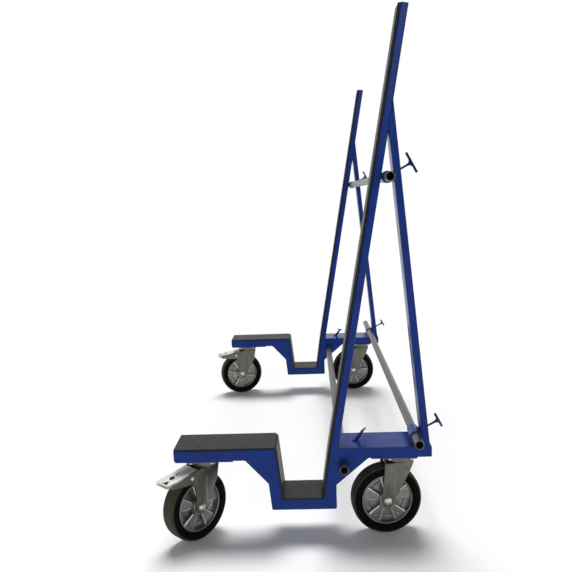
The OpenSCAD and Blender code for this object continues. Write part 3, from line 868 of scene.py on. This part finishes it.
def pedal_mesh():
    """Pressed tread plate with slots and a lip, two ears and the brake shoe."""
    half, ear_t = 26.5 * MM, 1.9 * MM
    top = [(-46, 213), (-72, 209.6), (-103, 205.2), (-130, 201.6), (-146, 199.8), (-150, 198.8),
           (-151.4, 197)]
    under = [(-149.6, 196.4), (-147.6, 197.8), (-130, 199.6), (-103, 203.2), (-72, 207.6), (-46, 211)]
    lip = [(-130, 194.4), (-149, 192.4), (-151.8, 191.8), (-151.8, 190), (-149, 190.4), (-130, 192.4)]
    plate = scratch(prism(in_mm(top + under), -half, half))
    cut = combine(plate, [scratch(part) for part in pedal_slots()], "DIFFERENCE")
    shape = Shape().add(cut).add(prism(in_mm(lip), -half, half))
    ear = [(-58, 202.5), (-58, 190), (-78, 188), (-92, 191), (-146, 189.5), (-146, 195), (-92, 201)]
    shoe = [(-88, 200), (-88, 192.5), (-104, 184.5), (-104, 198.5)]
    for y in (-half, half - ear_t):
        shape.add(prism(in_mm(ear), y, y + ear_t))
    shape.add(prism(in_mm(shoe), -18 * MM, 18 * MM))
    # The plate takes the light zinc: painted reflection on its tread plate
    mesh = soften(shape.mesh("pedal_plate", "pedal_highlight_zinc"), 0.6 * MM, 40)
    out = Shape().add(mesh_part(mesh))
    pin_x, pin_z = PEDAL_PIN
    for k in (0, 180):
        across = Matrix.Translation((pin_x, 0, pin_z)) @ Matrix.Rotation(math.radians(90 + k), 4, "X")
        out.add(rod(2.9 * MM, -32 * MM, -24.6 * MM, 24), across)
    for side in (-1, 1):
        out.add(rivet(pin_x, side * (CHEEK_Y + 0.3 * MM), pin_z))
    return out.mesh("brake_pedal", "pedal_highlight_zinc", 40)


def axle_mesh():
    """Axle bolt with a washer and a domed head at each end, along Z."""
    face = CHEEK_Y + 0.1 * MM
    shape = Shape().add(rod(6 * MM, -face, face, 48))
    washer_r, washer_t, c = 11 * MM, 1.5 * MM, 0.4 * MM
    for k in (0, 180):
        at = Matrix.Rotation(math.radians(k), 4, "X")
        z = face + washer_t
        washer = [(5 * MM, face), (washer_r - c, face), (washer_r, face + c), (washer_r, z - c),
                  (washer_r - c, z), (5 * MM, z)]
        shape.add(lathe(washer, 48), at)
        dome = [(r * MM, z + h * MM) for r, h in
                ((9.4, 0), (9.4, 0.8), (8.9, 1.7), (7.6, 2.6), (5.6, 3.4), (3, 3.8), (0, 3.9))]
        shape.add(lathe(dome, 48), at)
    return shape.mesh("axle_bolt", "zinc_bolt", 34)


# ---- Wheels ----

# The five raised fans of the web: their spacing and the middle of the first one, in degrees
FAN_PITCH = 72
FAN_START = -90
# Half width of a fan and the width of its sloping side, in degrees
FAN_HALF = 14.2
FAN_SLOPE = 5.6
# The slope's share that is a wide chamfer, and the chamfer's share of the height
CHAMFER_SPAN = 0.75
CHAMFER_DROP = 0.2
# Height of the fans' face along the axle, its rise toward the tyre, and the web's thickness
FAN_FACE = -17.5 * MM
FAN_DISH = 1.5 * MM
WEB_T = 3.6 * MM
# Height of the pockets' floor, and the step near their outer end with its radii
POCKET_FLOOR = -3.5 * MM
POCKET_STEP = 4 * MM
STEP_R = (50 * MM, 54 * MM)
# The round mark cast into each fan: its radius on the rim, its edge's radii and its depth
MARK_R = 54 * MM
MARK_EDGE = (2.4 * MM, 4.2 * MM)
MARK_DEPTH = 1.4 * MM


def off_fan(angle):
    """Degrees from the middle of the nearest fan."""
    return (angle - FAN_START + FAN_PITCH / 2) % FAN_PITCH - FAN_PITCH / 2


def fan_wave(angle):
    """1 on each of five raised fans and 0 between them: a wide chamfer, then a steep wall."""
    t = min(max((abs(off_fan(angle)) - FAN_HALF) / FAN_SLOPE, 0.0), 1.0)
    if t < CHAMFER_SPAN:
        return 1 - CHAMFER_DROP * t / CHAMFER_SPAN
    return (1 - CHAMFER_DROP) * (1 - t) / (1 - CHAMFER_SPAN)


def fan_face(r, radii):
    """Height of the fans' face at a radius, between the first and last of the radii."""
    return FAN_FACE + FAN_DISH * (r - radii[0]) / (radii[-1] - radii[0])


def web_surface(radii, angles, lift):
    """One face of the corrugated web, as grid points about the axle on Z."""
    verts = []
    for r in radii:
        for a in angles:
            up = fan_wave(a)
            back = POCKET_FLOOR - POCKET_STEP * smooth_step(r, *STEP_R)
            z = back + (fan_face(r, radii) - back) * up
            near = math.hypot(r - MARK_R, math.radians(off_fan(a)) * r)
            z += MARK_DEPTH * (1 - smooth_step(near, *MARK_EDGE)) * up
            verts.append(polar(r, a, z + lift))
    return verts, grid_faces(len(radii), len(angles))


def rim_mesh():
    """Cast rim: hub with a lip, corrugated five-fan web, and the ring that holds the tyre."""
    wall = [-FAN_HALF - FAN_SLOPE * i / 8 for i in range(8, -1, -1)]
    half = [-FAN_PITCH / 2, -30, -24, -21] + wall + [-11, -8, -6, -5, -4, -3, -2, -1]
    fan = half + [0] + [-a for a in half[:0:-1]]
    angles = [FAN_START + FAN_PITCH * k + a for k in range(5) for a in fan]
    radii = [r * MM for r in (22.5, 24.5, 28, 34, 40, 46, *range(49, 59), 60, 64, 67, 69)]
    shape = Shape()
    shape.add(web_surface(radii, angles, 0))
    shape.add(web_surface(radii, angles, WEB_T))
    hub = [(16.1, -24.2), (22.2, -24.6), (23.3, -24.2), (23.8, -23.2), (24.4, -10), (24.4, 10),
           (23.8, 23.2), (23.3, 24.2), (22.2, 24.6), (16.1, 24.2)]
    shape.add(lathe(in_mm(hub), 96, closed=True))
    lip = [(72.7, 19.8), (72.5, 20.8), (71.8, 21.5), (70.7, 21.8), (69.6, 21.5), (68.8, 20.8),
           (68.3, 19.6), (67.6, 15.5), (66.6, 13), (66.2, 9)]
    ring = [(r, -z) for r, z in lip] + lip[::-1]
    shape.add(lathe(in_mm(ring), 144, closed=True))
    return shape.mesh("rim", "cast_rim", 38)


def highlight_strip(radii, angle, turn):
    """A strip of painted highlight down one side of a fan; turn is the side it falls away to."""
    section = in_mm([(-0.6, 0.1), (-0.4, -0.35), (0.2, -0.2), (1.3, 0.65)])
    x, y = math.cos(math.radians(angle)), math.sin(math.radians(angle))
    verts = [(r * x - u * turn * y, r * y + u * turn * x, fan_face(r, radii) + w)
             for r in radii for u, w in section]
    return verts, grid_faces(len(radii), len(section), closed_columns=False)


def pocket_highlight(middle):
    """A strip of painted highlight on the outer edge of a pocket's step."""
    section = in_mm([(55.2, -8.8), (54.2, -7.6), (53.2, -5.8)])
    angles = [middle + a for a in (-13, -8, -3, 3, 8, 13)]
    verts = [polar(r, a, z) for a in angles for r, z in section]
    return verts, grid_faces(len(angles), len(section), closed_columns=False)


def rim_highlights_mesh():
    """Painted highlights: light strips along the edges of the fans and of the pockets' steps."""
    shape = Shape()
    radii = [r * MM for r in (29, 35, 45, 55, 62, 66.5)]
    for k in range(5):
        middle = FAN_START + FAN_PITCH * k
        for turn in (-1, 1):
            shape.add(highlight_strip(radii, middle + turn * (FAN_HALF + 0.6), turn))
        shape.add(pocket_highlight(middle + FAN_PITCH / 2))
    return shape.mesh("rim_edges", "rim_highlight_paint", 30)


def tyre_mesh():
    """Solid tyre with soft shoulders, ring lines on its sides and a slightly worn tread."""
    half, r, seat = TYRE_HALF, WHEEL_R, RIM_R
    # How far out from the rim or in from the tread, and how far in from the tyre's side
    bead = [(0.1, 3.4), (0.8, 1.6), (2.4, 0.7), (5, 0.3), (5.6, 1.1), (6.4, 1.1), (7, 0.1), (13, 0)]
    groove = [(10.2, 0), (9.6, 0.7), (8.9, 0.7)]
    side = [(seat + out, half - inward) for out, inward in in_mm(bead)]
    side += [(r - down, half - inward) for down, inward in in_mm(groove)]
    shoulder = [(x, z) for z, x in arc(half - 8.8 * MM, r - 9.2 * MM, 8.6 * MM, 8, 82, 9)]
    tread = [(r - 0.35 * MM, half - 9.5 * MM), (r, half - 13 * MM), (r, 0.7 * MM), (r - 0.25 * MM, 0)]
    upper = side + shoulder + tread
    profile = upper + [(x, -z) for x, z in upper[-2::-1]]
    return Shape().add(lathe(profile, 160, closed=True)).mesh("solid_tyre", "tyre", 30)


def hub_at(side, end):
    """The middle of the wheel, turned with the fork."""
    return fork_at(side, end) @ Matrix.Translation((AXLE_X, 0, WHEEL_R))


def build_wheels():
    rim, tyre, axle, edges = rim_mesh(), tyre_mesh(), axle_mesh(), rim_highlights_mesh()
    bearings = refined("near_rear_bearings", 0.4 * MM)
    home = hub_at("near", "rear")
    for side in SIDES:
        for end in ENDS:
            key = f"{side}_{end}"
            hub = hub_at(side, end)
            axle_z = hub @ Matrix.Rotation(math.radians(-90), 4, "X")
            spun = axle_z @ Matrix.Rotation(math.radians(-WHEEL_TURN[side, end]), 4, "Z")
            place(rim, key + "_rim_v", spun, key + "_wheel", [key + "_rim"])
            # Light strips on the rim that paint highlights along the fans' and pockets' edges
            place(edges, key + "_rim_edges", spun, key + "_wheel")
            place(tyre, key + "_tyre_v", spun, key + "_wheel", [key + "_tyre"])
            place(axle, key + "_axle_v", axle_z, key + "_fork", [key + "_axle"])
            place(bearings, key + "_bearings_v", hub @ home.inverted(), key + "_wheel",
                  [key + "_bearings"])


def build_forks():
    plain, braked, pedal = fork_mesh("fork_plain", False), fork_mesh("fork_braked", True), pedal_mesh()
    head, marks = refined("near_rear_top_plate", 0.8 * MM), pedal_shade_inlays_mesh()
    home = JOINTS["near_rear_swivel"]["pos_m"]
    for side in SIDES:
        for end in ENDS:
            key = f"{side}_{end}"
            mesh = braked if end == "front" else plain
            place(mesh, key + "_fork_v", fork_at(side, end), key + "_fork", [key + "_fork"])
            here = JOINTS[key + "_swivel"]["pos_m"]
            shift = Matrix.Translation(Vector(here) - Vector(home))
            place(head, key + "_top_plate_v", shift, side + "_frame", [key + "_top_plate"])
        place(pedal, side + "_brake_pedal_v", fork_at(side, "front"), side + "_brake_pedal",
              [side + "_brake_pedal"])
        # Dark inlays in the pedal's slots: painted shade
        place(marks, side + "_pedal_shade_inlays", fork_at(side, "front"), side + "_brake_pedal")


# ---- Studio ----

# The photograph's camera: its lens and sensor, its turn in degrees and its place from CORNER
LENS, SENSOR = 41.87, 36
YAW, PITCH, ROLL = -2.22, -7.74, -2.13
CAMERA_OFFSET = Vector((0.4012, -1.7666, 0.9673))
FLOOR_HALF = 30
# Each light's name, the direction it comes from, its spread in degrees and its strength
SUNS = (
    ("overhead", (-0.02, 0.35, 1), 28, 2.85),
    ("front", (0.12, -0.93, 0.30), 24, 0.32),
    ("front_left", (-0.50, -0.80, 0.25), 24, 0.32),
    ("front_right", (0.68, -0.68, 0.22), 24, 0.32),
)


def build_camera():
    data = bpy.data.cameras.new("camera")
    data.lens, data.sensor_width = LENS, SENSOR
    yaw, pitch, roll = (math.radians(a) for a in (YAW, PITCH, ROLL))
    level = math.cos(pitch)
    forward = Vector((math.sin(yaw) * level, math.cos(yaw) * level, math.sin(pitch)))
    flat = Vector((math.cos(yaw), -math.sin(yaw), 0))
    above = flat.cross(forward)
    right = flat * math.cos(roll) + above * math.sin(roll)
    up = above * math.cos(roll) - flat * math.sin(roll)
    at = Matrix((right, up, -forward)).transposed().to_4x4()
    at.translation = CORNER + CAMERA_OFFSET
    camera = linked("camera", data)
    camera.matrix_world = at
    bpy.context.scene.camera = camera


def build_floor():
    """A plain pale studio floor."""
    look = Look("floor", 0.55)
    look.colour(look.tint(look.noise(1.5, 4), (0.90, 0.90, 0.90), (0.93, 0.93, 0.93)))
    look.bump(look.noise(400, 3), 0.00005)
    mesh = bpy.data.meshes.new("floor")
    corners = ((-1, -1), (1, -1), (1, 1), (-1, 1))
    mesh.from_pydata([(x * FLOOR_HALF, y * FLOOR_HALF, 0) for x, y in corners], [], [[0, 1, 2, 3]])
    mesh.materials.append(look.material)
    linked("floor", mesh)


def build_world():
    """Plain studio: white low behind the object, dimmer overhead and in front."""
    world = bpy.data.worlds.new("studio")
    world.use_nodes = True
    tree = world.node_tree
    coordinates = tree.nodes.new("ShaderNodeTexCoord")
    split = tree.nodes.new("ShaderNodeSeparateXYZ")
    tree.links.new(coordinates.outputs["Generated"], split.inputs["Vector"])
    dimmer = tree.nodes.new("ShaderNodeMath")
    dimmer.operation = "MULTIPLY"
    tree.links.new(map_range(tree, split.outputs["Y"], -0.5, 0.1, 0.16, 1), dimmer.inputs[0])
    tree.links.new(map_range(tree, split.outputs["Z"], 0.32, 0.52, 1, 0.14), dimmer.inputs[1])
    background = tree.nodes["Background"]
    background.inputs["Color"].default_value = (1, 1, 1, 1)
    tree.links.new(dimmer.outputs["Value"], background.inputs["Strength"])
    bpy.context.scene.world = world


def soft_sun(name, toward, spread, strength):
    """A wide soft light from far away, so that the floor is evenly lit."""
    data = bpy.data.lights.new(name, "SUN")
    data.angle, data.energy = math.radians(spread), strength
    light = linked(name, data)
    light.rotation_euler = (-Vector(toward)).to_track_quat("-Z", "Y").to_euler()


def build_studio():
    build_camera()
    build_floor()
    build_world()
    for sun in SUNS:
        soft_sun(*sun)
    bpy.context.scene.view_settings.view_transform = "Standard"


build_frames()
build_tubes()
build_screws()
build_forks()
build_wheels()
build_studio()
